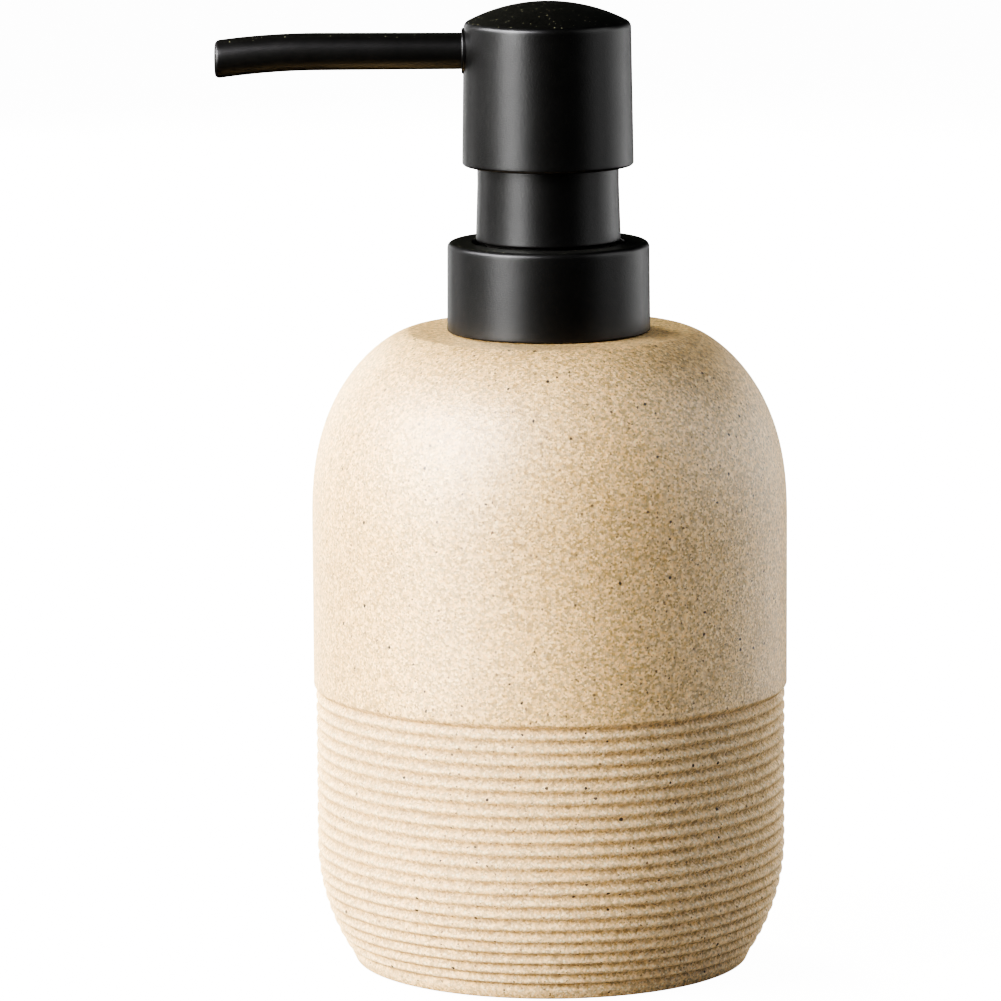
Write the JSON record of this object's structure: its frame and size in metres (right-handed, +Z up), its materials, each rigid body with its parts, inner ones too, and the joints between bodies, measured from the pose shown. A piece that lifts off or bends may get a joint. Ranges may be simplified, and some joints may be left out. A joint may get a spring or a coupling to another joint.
{
  "type": "soap pump dispenser",
  "caption": "Countertop soap dispenser: round stone-resin bottle with a ribbed foot, and a black screw-on lotion pump with a domed press head and a long, slightly bent spout.",
  "frame": {"origin": "centre of the foot, on the surface that the bottle stands on", "axes": "+Z up through the pump's axis; the spout points along -X"},
  "size_m": [0.0919, 0.077, 0.1568],
  "materials": {
    "stone_resin": "matte, fine sandy grain with dark specks",
    "black_plastic": "satin black",
    "black_cap": "matte black, moulded",
    "natural_plastic": "natural polypropylene, satin",
    "steel": "bright drawn stainless",
    "foam": "closed-cell foam, matte"
  },
  "bodies": {
    "bottle": {"bottle_body": "stone_resin", "neck_insert": "natural_plastic", "base_pad": "foam"},
    "pump_core": {"pump_housing": "natural_plastic", "dip_tube": "natural_plastic", "gasket": "foam", "stem_guide": "black_plastic", "neck_sleeve": "black_cap", "return_spring": "steel"},
    "closure": {"closure_nut": "black_plastic", "collar_shell": "black_cap"},
    "plunger": {"stem": "black_plastic", "lower_stem": "natural_plastic"},
    "piston": {"piston": "natural_plastic"},
    "head": {"head_core": "black_plastic", "head_shell": "black_cap", "spout": "black_cap"},
    "inlet_ball": {"inlet_ball": "steel"}
  },
  "joints": [
    {"name": "pump_rise", "type": "slide", "parent": "bottle", "child": "pump_core", "axis": [0, 0, 1], "range_m": [0, 0.00635]},
    {"name": "collar_turn", "type": "hinge", "parent": "pump_core", "child": "closure", "pos_m": [0, 0, 0.11], "axis": [0, 0, 1], "range_deg": [0, 540]},
    {"name": "head_press", "type": "slide", "parent": "pump_core", "child": "plunger", "axis": [0, 0, -1], "range_m": [0, 0.0112], "stiffness_N_per_m": 700, "springref_m": -0.003, "deforming": ["return_spring"]},
    {"name": "head_swivel", "type": "hinge", "parent": "plunger", "child": "head", "pos_m": [0, 0, 0.14], "axis": [0, 0, 1], "continuous": true},
    {"name": "outlet_valve", "type": "slide", "parent": "plunger", "child": "piston", "axis": [0, 0, 1], "range_m": [0, 0.0012]},
    {"name": "inlet_valve", "type": "slide", "parent": "pump_core", "child": "inlet_ball", "axis": [0, 0, 1], "range_m": [0, 0.0015]}
  ],
  "couplings": [
    {"joint": "pump_rise", "follows": "collar_turn", "m_per_rad": 0.0006737}
  ]
}
